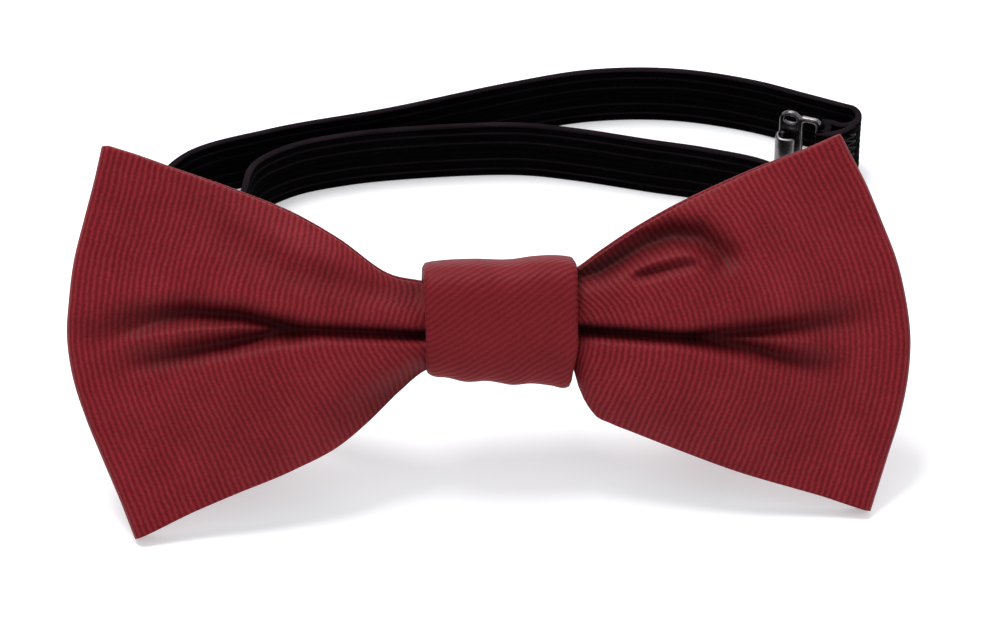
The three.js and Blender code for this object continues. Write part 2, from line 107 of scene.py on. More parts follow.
# ---------------------------------------------------------------- making meshes


def grid_mesh(name, places, uvs, closed_across=True, closed_along=False, capped=False, lap=(0, 0)):
    """Skin over places[along, across], with the uv map in mm. Caps close the two ends.

    Where the rows close on themselves, lap is added to the map of the first row's far side."""
    rows, cols = places.shape[:2]
    index = np.arange(rows * cols).reshape(rows, cols)
    last_row = rows if closed_along else rows - 1
    last_col = cols if closed_across else cols - 1
    r, c = np.meshgrid(np.arange(last_row), np.arange(last_col), indexing="ij")
    r2, c2 = (r + 1) % rows, (c + 1) % cols
    quads = np.stack([index[r, c], index[r, c2], index[r2, c2], index[r2, c]], -1).reshape(-1, 4)
    shift = (r2 < r)[..., None] * np.array(lap)
    uv_of = np.stack([uvs[r, c], uvs[r, c2], uvs[r2, c2] + shift, uvs[r2, c] + shift], -2)
    uv_of = uv_of.reshape(-1, 2)
    faces = quads.tolist()
    if capped:
        faces += [index[0, ::-1].tolist(), index[-1].tolist()]
        uv_of = np.concatenate([uv_of, uvs[0, ::-1], uvs[-1]])
    mesh = bpy.data.meshes.new(name)
    mesh.from_pydata(places.reshape(-1, 3).tolist(), [], faces)
    layer = mesh.uv_layers.new(name="Cloth")
    layer.data.foreach_set("uv", uv_of.astype(np.float32).ravel())
    mesh.shade_smooth()
    obj = bpy.data.objects.new(name, mesh)
    scene.collection.objects.link(obj)
    return obj


def finish_piece(obj, material, body, slot, *nodes):
    obj.data.materials.clear()
    obj.data.materials.append(material)
    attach(obj, body)
    if nodes:
        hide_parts(*nodes)
    return obj


# ---------------------------------------------------------------- the bow's loop of cloth

# Each wing's end, as its reach at shares of the height, and the heights of its top and bottom
# edges along its length, all from the knot's middle.
LEFT = {
    "side": -1,
    "end": [(-1, 53.1), (-0.8, 55.1), (-0.6, 57.3), (-0.41, 59.3), (-0.2, 61.0), (0, 61.6),
            (0.2, 61.1), (0.4, 60.2), (0.62, 58.5), (0.83, 56.8), (1, 55.6)],
    "top": [(0, 5.2), (9, 5.4), (11, 5.9), (15.6, 7.4), (22.4, 12.6), (28.6, 16.5), (34.9, 19.4),
            (43.3, 22.8), (54.8, 26.9)],
    "bottom": [(0, 5.2), (9, 5.6), (11.5, 6.9), (14.6, 9.6), (19, 13.6), (23.4, 17), (29.9, 20.2),
               (38.6, 23.5), (52.9, 29.2)],
}
RIGHT_SIDE = {
    "side": 1,
    "end": [(-1, 52.3), (-0.74, 54.9), (-0.54, 56.9), (-0.35, 58.2), (-0.16, 58.7), (0.04, 58.2),
            (0.27, 57), (0.49, 55.05), (0.72, 52.8), (0.89, 50.75), (1, 49.45)],
    "top": [(0, 5.2), (9, 5.8), (11.4, 7), (14.6, 9.4), (19, 12.2), (23.3, 14.6), (34.2, 19.5),
            (49.6, 25.1)],
    "bottom": [(0, 5.2), (10.2, 6.6), (11.2, 10.5), (12.8, 13.6), (15.2, 15.3), (18.1, 16.6),
               (24.4, 19.35), (33, 22.9), (41.5, 25.8), (52.3, 29.3)],
}

# Creases pressed into a wing's front: their points along the wing and up it, their depths at the
# two ends, and their half widths there.
LEFT_CREASES = [
    ([(6, -1.3), (11.4, -1.3), (18.6, -0.6), (26.4, 0.1), (32, 0.8)],
     (3.0, 2.8), (0.7, 1.2)),
    ([(26, 0.4), (32, 1.2), (37.1, 2.5), (44.2, 3.1), (49.8, 2.4), (58, 1)],
     (3.2, 1.2), (1.1, 2.0)),
    ([(24, -0.3), (31.8, -0.2), (37.2, -1), (42.3, -1.9), (48.1, -3.1), (55, -4.4)],
     (3.2, 0.4), (1.1, 2.0)),
    ([(46, 24), (38, 14.5), (30, 9.2), (20, 6.0), (12, 4.4)], (0.5, 1.1), (3.6, 1.8)),
    ([(9, -5.4), (17.5, -10.2), (25, -13.5)], (1.5, 0.0), (1.6, 3.2)),
]
LEFT_RIDGES = [
    ([(30, 0.3), (37, 0.7), (44, 0.6), (52, -0.8)], (0.2, 0.4), (0.7, 1.2)),
    ([(50, 25), (42, 19), (34, 13.5), (24, 9.5)], (0.3, 0.6), (3.0, 2.6)),
]
RIGHT_CREASES = [
    ([(6, -1.2), (10.9, -1.4), (20, -2.3), (27.2, -3.0)], (3.6, 3.2), (0.8, 1.0)),
    ([(22, -2.6), (27.2, -2.8), (36.4, -2.3), (43.7, -1.8), (55, -0.8)], (3.2, 0.0), (0.9, 2.2)),
    ([(22, -2.6), (27.2, -3.2), (34.5, -4.6), (39.9, -6.2), (50, -8.6)], (3.2, 0.0), (0.9, 2.0)),
    ([(6, 6.2), (11.2, 6.5), (14.3, 7.2), (16.6, 8.3), (20.4, 10.4), (24.8, 11.7), (28.4, 11.3),
      (32, 8.6)], (3.8, 2.0), (1.3, 2.2)),
    ([(18, 5.6), (21, 6.5), (23.5, 7.1), (26.5, 7.6), (31, 8.2)], (1.3, 0.2), (0.8, 1.1)),
]
RIGHT_RIDGES = [
    ([(14.3, 5.6), (20, 7.7), (25.8, 9.0), (29.6, 7.6)], (0.3, 0.7), (0.8, 1.0)),
    ([(28, -4.4), (36, -4.0), (44, -4.2)], (0.1, 0.3), (0.7, 1.0)),
]
BACK_CREASES = [
    ([(6, 0.4), (20, 0.6), (34, 2), (46, 4)], (2.2, 0.0), (1.2, 2.4)),
    ([(6, -3.5), (18, -6), (30, -10)], (1.2, 0.0), (1.2, 2.4)),
]
LEFT["pressed"] = LEFT_CREASES, LEFT_RIDGES
RIGHT_SIDE["pressed"] = RIGHT_CREASES, RIGHT_RIDGES

CREASE_START = 0.2  # share of a crease's length over which it sinks in
CREASE_FADE = 2.6  # above 1, a crease keeps its depth longer and fades late
MERGING = 3  # the higher, the less two creases add up where they meet


def crease(x, z, points, depths, widths):
    """How deep one crease is at each place."""
    points = np.array(points, float)
    spans = np.linalg.norm(np.diff(points, axis=0), axis=1)
    starts = np.concatenate([[0], np.cumsum(spans)])
    nearest = np.full(x.shape, np.inf)
    share = np.zeros(x.shape)
    for a, b, span, start in zip(points[:-1], points[1:], spans, starts):
        t = np.clip(((x - a[0]) * (b[0] - a[0]) + (z - a[1]) * (b[1] - a[1])) / span**2, 0, 1)
        gap = np.hypot(x - a[0] - t * (b[0] - a[0]), z - a[1] - t * (b[1] - a[1]))
        closer = gap < nearest
        nearest = np.where(closer, gap, nearest)
        share = np.where(closer, (start + t * span) / starts[-1], share)
    depth = depths[0] + (depths[1] - depths[0]) * share**CREASE_FADE
    width = widths[0] + (widths[1] - widths[0]) * share
    return depth * smoothstep(share, -0.02, CREASE_START) * np.exp(-((nearest / width) ** 2))


def creases(x, z, known, ridges=()):
    """All creases together, less the ridges; where two creases meet, the deeper one rules."""
    sunk = sum((crease(x, z, *one) ** MERGING for one in known), np.zeros(x.shape)) ** (1 / MERGING)
    return sunk - sum(crease(x, z, *one) for one in ridges)


WAVES = 7
WAVE_HEIGHT = 0.05
STEEPEST_WAVE = 0.28  # in radians per mm


def unevenness(x, z, seed):
    """Slow waves of cloth that was pressed by hand, within about 0.2 mm."""
    rng = np.random.default_rng(seed)
    total = np.zeros(x.shape)
    for _ in range(WAVES):
        fx, fz = rng.uniform(-STEEPEST_WAVE, STEEPEST_WAVE, 2)
        total += np.sin(fx * x + fz * z + rng.uniform(0, 2 * np.pi))
    return total * WAVE_HEIGHT


FRONT_COLUMNS = 150
FOLD_COLUMNS = 9
BACK_COLUMNS = 70
FACE_ROWS = 131
INNER_ROWS = 41
BACK_GAP = 0.7  # half the slit where the loop's two ends meet behind the knot

EDGE_THICKNESS = 0.35  # of the cloth seen past the wing's middle sheet, at its top and bottom
BELLY = 2.0  # how far a wing's middle stands out from its top and bottom edges
FULL_AT_WAIST = 2.5  # a wing's half thickness there, over that at its end fold
ROLL = 0.7  # and how much more it has where the pleats let go
ROLL_AT, ROLL_WIDTH = 0.36, 0.2  # as shares of the wing's length
BACK_FLATTER = 0.5  # how much less a wing swells behind than in front
IN_KNOT = 3.0  # how far back the cloth may reach inside the knot
SEED = 3


def wing_height(wing, x, v):
    """Height on a wing, a share v of the way from its middle to its top or bottom edge."""
    drawn_in = EDGE_THICKNESS * smoothstep(x, 10, 16) * (1 - smoothstep(x, 44, 52))
    edge_top = smooth_through(wing["top"], x) - drawn_in
    edge_bottom = smooth_through(wing["bottom"], x) - drawn_in
    return np.where(v > 0, v * edge_top, v * edge_bottom)


def fullness(share):
    """Half thickness of a wing from the waist to its end, before the creases."""
    roll = ROLL * np.exp(-(((share - ROLL_AT) / ROLL_WIDTH) ** 2))
    return END_RADIUS + FULL_AT_WAIST * (1 - share**4) + roll


def not_too_thin(depth):
    """Keeps a depth above THINNEST, without a sharp corner."""
    return THINNEST + np.logaddexp(0, (depth - THINNEST) * 4) / 4


def settled(depth, share, start):
    """Brings a depth to the end fold's own radius between a start and the wing's end."""
    settle = smoothstep(share, start, 1)
    return depth * (1 - settle) + END_RADIUS * settle


def wing_path(wing, v, inset, pressed=True):
    """One wing from the front middle round its end fold to the back middle.

    Each v, from -1 to 1, gives one path; inset is how far it lies inside the cloth's outer face."""
    side = wing["side"]
    front_creases, ridges = wing["pressed"] if pressed else ((), ())
    reach = smooth_through(wing["end"], v)[None, :] - END_RADIUS
    top_corner, bottom_corner = (smooth_through(wing["end"], end) - END_RADIUS for end in (1, -1))
    edge_x = np.where(v > 0, top_corner, bottom_corner)[None, :]

    share = np.linspace(0, 1, FRONT_COLUMNS)[:, None]
    x = share * reach
    z = wing_height(wing, share * edge_x, v[None, :])
    crown = 1 - 0.5 * np.abs(v[None, :]) ** 4 * (1 - share**3)
    belly = BELLY * (1 - v[None, :] ** 2) * smoothstep(share, 0.1, 0.5)
    depth = settled(fullness(share) * crown + belly, share, 0.62)
    depth -= creases(x, z, front_creases, ridges)
    depth += unevenness(x, z, SEED + side) * (1 - share**4) * pressed
    depth = settled(not_too_thin(depth), share, 0.88)
    front = np.stack([side * x, inset - depth, z], -1)

    angle = np.linspace(-np.pi / 2, np.pi / 2, FOLD_COLUMNS + 2)[1:-1, None]
    radius = END_RADIUS - inset
    z_end = wing_height(wing, edge_x + radius * np.cos(angle), v[None, :])
    fold = np.stack([
        side * (reach + radius * np.cos(angle)),
        radius * np.sin(angle) + 0 * reach,
        z_end,
    ], -1)

    share = np.linspace(1, 0, BACK_COLUMNS)[:, None]
    x = np.maximum(share * reach, BACK_GAP)
    z = wing_height(wing, share * edge_x, v[None, :])
    hollow = creases(x, z, BACK_CREASES if pressed else ())
    depth = not_too_thin(fullness(share) - BACK_FLATTER - hollow)
    depth = np.minimum(depth, IN_KNOT + 6 * smoothstep(share, 0.16, 0.3))
    depth = settled(depth, share, 0.86)
    back = np.stack([side * x, depth - inset, z], -1)
    return np.concatenate([front, fold, back])


def whole_loop(v, inset, pressed=True):
    """The loop from its left end at the back, over the front, to its right end at the back."""
    left = wing_path(LEFT, v, inset, pressed)
    right = wing_path(RIGHT_SIDE, v, inset, pressed)
    return np.concatenate([left[:0:-1], right])


def loop_lengths(path):
    """Cloth length along the loop from its left end, at each place."""
    steps = np.linalg.norm(np.diff(path, axis=0), axis=-1)
    return np.concatenate([np.zeros((1, path.shape[1])), np.cumsum(steps, axis=0)])


FOLD_TO_FOLD = 118  # cloth length from one end fold to the other
FLAT_HALF_HEIGHT = 27.5
PLEAT_DEPTH = 3.6  # of the deepest pleats


def rib_phase(path):
    """Cloth length measured from each wing's end fold, so that ribs run along the fold.

    The two ways of measuring change over under the knot."""
    lengths = loop_lengths(path)
    half = FOLD_COLUMNS // 2 + 1
    left_fold = BACK_COLUMNS + half - 1
    right_fold = len(path) - BACK_COLUMNS - half
    phase = lengths - lengths[left_fold]
    right = lengths - lengths[right_fold]
    blend = smoothstep(path[..., 0], -4, 4)
    return phase * (1 - blend) + (right + FOLD_TO_FOLD) * blend


def paint_pleat_shade(obj, ring):
    """Stores how deep each point lies in a pleat, from 0 to 1, which the cloth's material turns into
    painted shade that darkens the pleats.
    """
    x, z = np.abs(ring[..., 0]), ring[..., 2]
    front = smoothstep(-ring[..., 1], -0.5, 0.5)
    left = creases(x, z, LEFT_CREASES) * (ring[..., 0] < 0)
    right = creases(x, z, RIGHT_CREASES) * (ring[..., 0] >= 0)
    fold = np.clip((left + right) / PLEAT_DEPTH, 0, 1) * front
    layer = obj.data.attributes.new("fold", "FLOAT", "POINT")
    layer.data.foreach_set("value", fold.astype(np.float32).ravel())


STIFFENING_FROM, STIFFENING_TO = 0.42, 0.62  # its two faces, as shares of the cloth's thickness


def bow_fabric():
    """The folded double cloth, its outer and inner faces joined along the top and bottom folds."""
    v_out = np.linspace(-1, 1, FACE_ROWS)
    v_in = np.linspace(1, -1, INNER_ROWS)
    outer = whole_loop(v_out, 0.0)
    inner = whole_loop(v_in, CLOTH)
    top = (outer[:, -1:] + inner[:, :1]) / 2 + [0, 0, 0.1]
    bottom = (outer[:, :1] + inner[:, -1:]) / 2 - [0, 0, 0.1]
    ring = np.concatenate([outer, top, inner, bottom], axis=1)
    u_out = rib_phase(whole_loop(v_out, 0.0, pressed=False))
    u_in = rib_phase(whole_loop(v_in, CLOTH, pressed=False))
    u = np.concatenate([u_out, u_out[:, -1:], u_in, u_out[:, :1]], axis=1)
    v_all = np.concatenate([v_out, [1.01], v_in, [-1.01]]) * FLAT_HALF_HEIGHT
    uvs = np.stack([u, np.broadcast_to(v_all, u.shape)], -1)
    obj = grid_mesh("bow_cloth", on_bow(ring), uvs, capped=True)
    paint_pleat_shade(obj, ring)
    return obj


def bow_stiffening():
    """The stiffening sheet inside the folded cloth, following it all round the loop."""
    v_out = np.linspace(-1, 1, FACE_ROWS)[2:-2]
    outer = whole_loop(v_out, CLOTH * STIFFENING_FROM)
    inner = whole_loop(v_out[::-1], CLOTH * STIFFENING_TO)
    ring = np.concatenate([outer, inner], axis=1)[::2]
    u = np.concatenate([rib_phase(outer), rib_phase(inner)], axis=1)[::2]
    v_all = np.concatenate([v_out, v_out[::-1]]) * FLAT_HALF_HEIGHT
    uvs = np.stack([u, np.broadcast_to(v_all, u.shape)], -1)
    return grid_mesh("bow_stiffening", on_bow(ring), uvs, capped=True)


# ---------------------------------------------------------------- the knot

KNOT_FRONT = 6.8
KNOT_BACK = KNOT_BACK_DEPTH
KNOT_WALL = 1.3
KNOT_ROLL = 1.2  # added to the wrap's thickness where its long edges are rolled under
# Its top and bottom edges, in mm from its middle, at shares of its half width.
KNOT_TOP = [(-1, 8.5), (-0.92, 8.7), (-0.72, 8.9), (-0.35, 8.95), (0.2, 8.7), (0.45, 9), (0.92, 8.8),
            (1, 8.6)]
KNOT_BOTTOM = [(-1, 6.8), (-0.9, 7.4), (-0.72, 7.7), (-0.48, 8.4), (-0.2, 8.4), (0.15, 9.1),
               (0.42, 9.0), (0.7, 9.4), (0.92, 9.8), (1, 9.5)]
KNOT_LEAN = 0.14  # how much the face falls back towards its lower edge
KNOT_SQUARENESS = 3.4  # exponent of the superellipse that the wrap's section is
LAP_LINE = -4.7  # height of the wrap's outer end, behind
LAP_STEP = 0.5  # how far the wrap's outer end stands proud over its inner one, behind
KNOT_CROWN = 0.35  # how far the wrap's front swells between its long edges
KNOT_ACROSS = 61
KNOT_AROUND = 144
LOWER_PULL = 1.2  # how far the wrap's right edge is drawn in at its foot
UPPER_PULL = 0.25  # and its left edge at its top
SIDE_HOLLOW = 0.25  # and both edges halfway up


def knot_wrap():
    """The band round the knot, closed on itself, with rolled long edges and a lap behind."""
    edge = 0.55
    w = np.linspace(-1, 1, KNOT_ACROSS)
    to_edge = np.minimum((1 - np.abs(w)) * KNOT_HALF_WIDTH, edge)
    round_off = edge - np.sqrt(edge**2 - (edge - to_edge) ** 2)
    w_all = np.concatenate([w, w[::-1]])
    rolled = KNOT_ROLL * smoothstep(np.abs(w), 0.7, 0.95)
    inset = np.concatenate([round_off, KNOT_WALL + rolled])
    angle = np.linspace(0, 2 * np.pi, KNOT_AROUND, endpoint=False)[:, None]
    co, si = np.cos(angle), np.sin(angle)
    power = 2 / KNOT_SQUARENESS
    unit_y = np.sign(co) * np.abs(co) ** power
    unit_z = np.sign(si) * np.abs(si) ** power
    top = smooth_through(KNOT_TOP, w_all)
    bottom = smooth_through(KNOT_BOTTOM, w_all)
    z = unit_z * (np.where(unit_z > 0, top, bottom) - inset)
    front = KNOT_FRONT + KNOT_CROWN * (1 - w_all**2) - inset
    back = KNOT_BACK - 0.2 - inset
    y = np.where(unit_y < 0, unit_y * (front + KNOT_LEAN * z), unit_y * back)
    under_lap = 1 - smoothstep(z, LAP_LINE - 0.2, LAP_LINE + 0.2)
    y = y - LAP_STEP * under_lap * smoothstep(unit_y, 0.35, 0.8) * (inset < KNOT_WALL)
    x = w_all * KNOT_HALF_WIDTH
    x = x - LOWER_PULL * smoothstep(-z, 2.5, 9) * (w_all > 0) * w_all
    x = x - UPPER_PULL * smoothstep(z, 4, 9) * (w_all < 0) * w_all
    x = x - SIDE_HOLLOW * np.cos(np.clip(z / 8, -1, 1) * np.pi / 2) * w_all**3
    places = np.stack([x, y, z], -1)
    middle = places[:, KNOT_ACROSS // 2]
    steps = np.linalg.norm(np.diff(middle, axis=0, append=middle[:1]), axis=-1)
    run = np.concatenate([[0], np.cumsum(steps)[:-1]])[:, None]
    wide = np.broadcast_to(w_all * KNOT_HALF_WIDTH, y.shape)
    uvs = np.stack([wide, np.broadcast_to(run, y.shape)], -1)
    whole = steps.sum()
    return grid_mesh("knot_cloth", on_bow(places[::-1]), uvs[::-1], closed_along=True, lap=(0, -whole))


PADDING_STATIONS = 60


def knot_padding():
    """A C of felt round the waist's front and sides."""
    half_width, half_height, front, back, radius = 7.4, 7.0, 4.9, 2.6, 2.0
    thick, eased = 0.6, 0.2
    corner_y, corner_z = radius - front, half_height - radius
    quarter = radius * np.pi / 2
    starts = np.cumsum([0, back - corner_y, quarter, 2 * corner_z, quarter, back - corner_y])

    def outside(run):
        """Depth and height on the C's outside, a run from its upper end, and the way out there."""
        k = min(np.searchsorted(starts, run, side="right") - 1, 4)
        t = run - starts[k]
        if k == 0:
            return back - t, half_height, 0, 1
        if k == 2:
            return -front, corner_z - t, -1, 0
        if k == 4:
            return corner_y + t, -half_height, 0, -1
        a = np.pi * (k + 1) / 4 + t / radius
        out_y, out_z = np.cos(a), np.sin(a)
        return corner_y + radius * out_y, (2 - k) * corner_z + radius * out_z, out_y, out_z

    inner = half_width - eased
    section = [
        (-half_width, 0.05), (-inner, 0), (inner, 0), (half_width, 0.05),
        (half_width, thick - 0.05), (inner, thick), (-inner, thick), (-half_width, thick - 0.05),
    ]
    line = [outside(run) for run in np.linspace(0, 1, PADDING_STATIONS) * starts[-1]]
    places = np.array([[(x, y - ny * t, z - nz * t) for x, t in section] for y, z, ny, nz in line])
    uvs = np.stack([places[..., 0], places[..., 2]], -1)
    return grid_mesh("knot_padding", on_bow(places), uvs, capped=True)


# ---------------------------------------------------------------- the elastic straps


STATION = 0.8  # between the cross sections of a strap


def run_along(line):
    """Length of a line from its start to each of its points."""
    return np.concatenate([[0], np.cumsum(np.linalg.norm(np.diff(line, axis=0), axis=1))])


def smooth_run(points):
    """Even points on the centripetal Catmull-Rom curve through the given ones."""
    p = np.array(points, float)
    p = np.concatenate([[2 * p[0] - p[1]], p, [2 * p[-1] - p[-2]]])
    dense = []
    for k in range(1, len(p) - 2):
        p0, p1, p2, p3 = p[k - 1:k + 3]
        d0, d1, d2 = (np.sqrt(np.linalg.norm(b - a)) for a, b in ((p0, p1), (p1, p2), (p2, p3)))
        t1 = ((p1 - p0) / d0 - (p2 - p0) / (d0 + d1) + (p2 - p1) / d1) * d1
        t2 = ((p2 - p1) / d1 - (p3 - p1) / (d1 + d2) + (p3 - p2) / d2) * d1
        t = np.linspace(0, 1, 60, endpoint=k == len(p) - 3)[:, None]
        dense.append(
            (2 * t**3 - 3 * t**2 + 1) * p1 + (t**3 - 2 * t**2 + t) * t1
            + (3 * t**2 - 2 * t**3) * p2 + (t**3 - t**2) * t2
        )
    dense = np.concatenate(dense)
    run = run_along(dense)
    even = np.linspace(0, run[-1], round(run[-1] / STATION) + 1)
    line = np.stack([np.interp(even, run, dense[:, k]) for k in range(3)], -1)
    line[:, 2] = np.maximum(line[:, 2], STANDING)
    return line


def arc(centre, radius, start, end, steps, height, first=0):
    """Points of a level arc, whose radius may change evenly from one value to another."""
    share = np.arange(first, steps + 1) / steps
    radii = radius[0] + (radius[1] - radius[0]) * share
    angle = np.radians(start + (end - start) * share)
    return np.stack([
        centre[0] + radii * np.cos(angle), centre[1] + radii * np.sin(angle),
        np.full(len(share), height),
    ], -1)


STRAP_DEPTH = 4.7  # of the straps' middle behind the knot's middle
knot_exit = on_bow([0, STRAP_DEPTH, 0]) / MM - KNOT * [1, 1, 0] / MM


def in_knot(x):
    """A place on a strap's middle where it passes through the knot."""
    return (x, knot_exit[1], knot_exit[2])


def descent(share):
    """Height of a strap's middle, a share of the way down from the knot to the table."""
    return knot_exit[2] + (STANDING - knot_exit[2]) * share


TURN_CENTRE = (55.1, 61.6)
TURN_RADIUS = 4
TURN_TO = -112
OUTER_TURN_CENTRE = (55.2, 60.3)
OUTER_TURN_RADII = (3.8, 2.6)
TURN_STEPS = 20
TURN_RISE = 1.3  # how much the strap climbs round the turn
FOLD_STEPS = 14
HEM_ANGLE = 50
HEM_STEPS = 10
HEM_SPACING = BAND_THICKNESS + 0.12
turn_end = math.radians(TURN_TO)
hook_along = np.array([math.sin(turn_end), -math.cos(turn_end)])
hook_out = np.array([math.cos(turn_end), math.sin(turn_end)])
HOOK_BAR = np.array(TURN_CENTRE) + hook_out * (TURN_RADIUS + FOLD_RADIUS) + hook_along
RETURN_X = -36.3
EYE_BAR = np.array([RETURN_X - FOLD_RADIUS, 24.8])
RETURN_FROM = 45.8
TAIL_END = 44.3


def level_run(x, depths):
    """Points straight back at one x, at the height where the metal carries a strap."""
    return np.stack([np.full(len(depths), x), depths, np.full(len(depths), CARRIED)], -1)


def left_line():
    """Middle of the left strap, from the knot round the hook's bar to the end of its hem."""
    turn = arc(OUTER_TURN_CENTRE, OUTER_TURN_RADII, 45, TURN_TO, TURN_STEPS, CARRIED)
    turn[:, 2] -= TURN_RISE * (1 - np.linspace(0, 1, TURN_STEPS + 1))
    smooth = smooth_run([
        in_knot(-1), in_knot(-22 / 3), in_knot(-13),
        (-25, 7, descent(0.18)), (-38.5, 13.5, descent(0.5)), (-48.5, 24, descent(0.84)),
        (-51.8, 34.8, descent(1)), (-51, 46.8, STANDING), (-45, 57.6, STANDING),
        (-31.9, 62.9, STANDING), (-13.2, 67.1, STANDING), (5.7, 72.3, STANDING),
        (18.3, 74.8, STANDING), (30.9, 74.4, STANDING), (43.1, 70.9, STANDING),
        (51, 66.7, STANDING + 0.3), tuple(turn[0]),
    ])
    fold = arc(HOOK_BAR, (FOLD_RADIUS, FOLD_RADIUS), TURN_TO + 180, TURN_TO, FOLD_STEPS, CARRIED)
    hem = arc(
        TURN_CENTRE, (TURN_RADIUS + 2 * FOLD_RADIUS, TURN_RADIUS + HEM_SPACING),
        TURN_TO, TURN_TO + HEM_ANGLE, HEM_STEPS, CARRIED, first=1,
    )
    return np.concatenate([smooth, turn[1:], fold, hem])


def right_line():
    """Middle of the right strap, from the knot round the eye's bar to the end of its tail."""
    smooth = smooth_run([
        in_knot(1), in_knot(22 / 3), in_knot(13),
        (25, 7, descent(0.18)), (38, 14, descent(0.5)), (47.5, 24, descent(0.84)),
        (51, 32.8, descent(1)), (50.5, 42.3, STANDING), (44.2, 50.4, STANDING),
        (35.4, 54.3, STANDING), (26.3, 57, STANDING), (15, 60.4, STANDING),
        (6.6, 62.2, STANDING), (-6.5, 62.4, STANDING), (-20.4, 61.2, STANDING),
        (-29.5, 58.6, STANDING), (-34.4, 54.2, STANDING + 0.3 * (CARRIED - STANDING)),
        (RETURN_X, RETURN_FROM, CARRIED),
    ])
    straight = level_run(RETURN_X, np.linspace(RETURN_FROM, EYE_BAR[1], 22)[1:-1])
    fold = arc(EYE_BAR, (FOLD_RADIUS, FOLD_RADIUS), 0, -180, FOLD_STEPS, CARRIED)
    tail = level_run(EYE_BAR[0] - FOLD_RADIUS, np.linspace(EYE_BAR[1], TAIL_END, 20)[1:])
    return np.concatenate([smooth, straight, fold, tail])


RIB_RISE = 0.11
GROUND = BAND_THICKNESS / 2 - 0.08  # half thickness of the elastic between its ribs
SELVEDGE = 0.9  # share of the half width where the plain edge begins
SELVEDGE_RISE = 0.07


def strap_section():
    """Half section of the elastic: across its width, and out from its middle."""
    a = np.linspace(-1, 1, 8 * BAND_RIBS + 1)
    ribs = RIB_RISE * np.abs(np.cos(a * BAND_RIBS * np.pi / 2)) ** 0.7
    selvedge = SELVEDGE_RISE * smoothstep(np.abs(a), SELVEDGE, 0.95)
    out = GROUND + ribs * (np.abs(a) < SELVEDGE) + selvedge
    edge = np.abs(a) > 0.985
    return a * BAND_WIDTH / 2, np.where(edge, out * 0.55, out)


LEVEL_AFTER = 55  # run from the knot over which a strap's width turns upright


def strap(name, line):
    """Elastic along a line, its width turning from the bow's lean to upright."""
    along = np.gradient(line, axis=0)
    along /= np.linalg.norm(along, axis=1)[:, None]
    run = run_along(line)
    share = smoothstep(run, KNOT_HALF_WIDTH, LEVEL_AFTER)[:, None]
    across = UP * (1 - share) + TABLE_UP * share
    across -= along * np.sum(across * along, axis=1)[:, None]
    across /= np.linalg.norm(across, axis=1)[:, None]
    through = np.cross(along, across)
    wide, out = strap_section()
    wide_all = np.concatenate([wide, wide[::-1]])
    out_all = np.concatenate([out, -out[::-1]])
    places = line[:, None] + across[:, None] * wide_all[:, None] + through[:, None] * out_all[:, None]
    u = np.broadcast_to(run[:, None], places.shape[:2])
    v = np.broadcast_to(wide_all[None, :], places.shape[:2])
    return grid_mesh(name, on_table(places), np.stack([u, v], -1), capped=True)


# ---------------------------------------------------------------- metal and thread


def rounded_box(left, low, right, high, radius, steps=5):
    """Outline of a box with round corners."""
    corners = [
        (right - radius, high - radius, 0), (left + radius, high - radius, 90),
        (left + radius, low + radius, 180), (right - radius, low + radius, 270),
    ]
    outline = []
    for x, z, start in corners:
        for k in range(steps + 1):
            a = math.radians(start + 90 * k / steps)
            outline.append((x + radius * math.cos(a), z + radius * math.sin(a)))
    return outline


def plate(name, outlines, thickness, bevel):
    """Flat plate in the x-z plane with holes and softly rounded edges, in mm, as mesh data."""
    curve = bpy.data.curves.new(name + "_outline", "CURVE")
    curve.dimensions = "2D"
    curve.fill_mode = "BOTH"
    curve.extrude = thickness / 2 - bevel
    curve.bevel_depth = bevel
    curve.bevel_resolution = 3
    curve.offset = -bevel
    for outline in outlines:
        spline = curve.splines.new("POLY")
        spline.points.add(len(outline) - 1)
        for point, (x, z) in zip(spline.points, outline):
            point.co = (x, z, 0, 1)
        spline.use_cyclic_u = True
    holder = bpy.data.objects.new(name + "_outline", curve)
    scene.collection.objects.link(holder)
    bpy.context.view_layer.update()
    mesh = bpy.data.meshes.new_from_object(holder.evaluated_get(bpy.context.evaluated_depsgraph_get()))
    bpy.data.objects.remove(holder)
    bpy.data.curves.remove(curve)
    co = np.empty(len(mesh.vertices) * 3)
    mesh.vertices.foreach_get("co", co)
    co = co.reshape(-1, 3)
    mesh.vertices.foreach_set("co", np.stack([co[:, 0], -co[:, 2], co[:, 1]], -1).ravel())
    weld(mesh)
    return mesh


def weld(mesh):
    """Joins the plate's skins along their shared edges."""
    bm = bmesh.new()
    bm.from_mesh(mesh)
    bmesh.ops.remove_doubles(bm, verts=bm.verts, dist=1e-4)
    bmesh.ops.recalc_face_normals(bm, faces=bm.faces)
    bm.to_mesh(mesh)
    bm.free()


def joined(name, meshes, turn, place):
    """Meshes in mm joined into one object, turned about the vertical and put in its place."""
    bm = bmesh.new()
    for mesh in meshes:
        bm.from_mesh(mesh)
    data = bpy.data.meshes.new(name)
    bm.to_mesh(data)
    bm.free()
    co = np.empty(len(data.vertices) * 3)
    data.vertices.foreach_get("co", co)
    x, y, z = co.reshape(-1, 3).T
    c, s = math.cos(turn), math.sin(turn)
    spot = on_table(np.stack([x * c - y * s + place[0], x * s + y * c + place[1], z + place[2]], -1))
    data.vertices.foreach_set("co", spot.ravel())
    data.shade_smooth()
    data.update()
    obj = bpy.data.objects.new(name, data)
    scene.collection.objects.link(obj)
    return obj


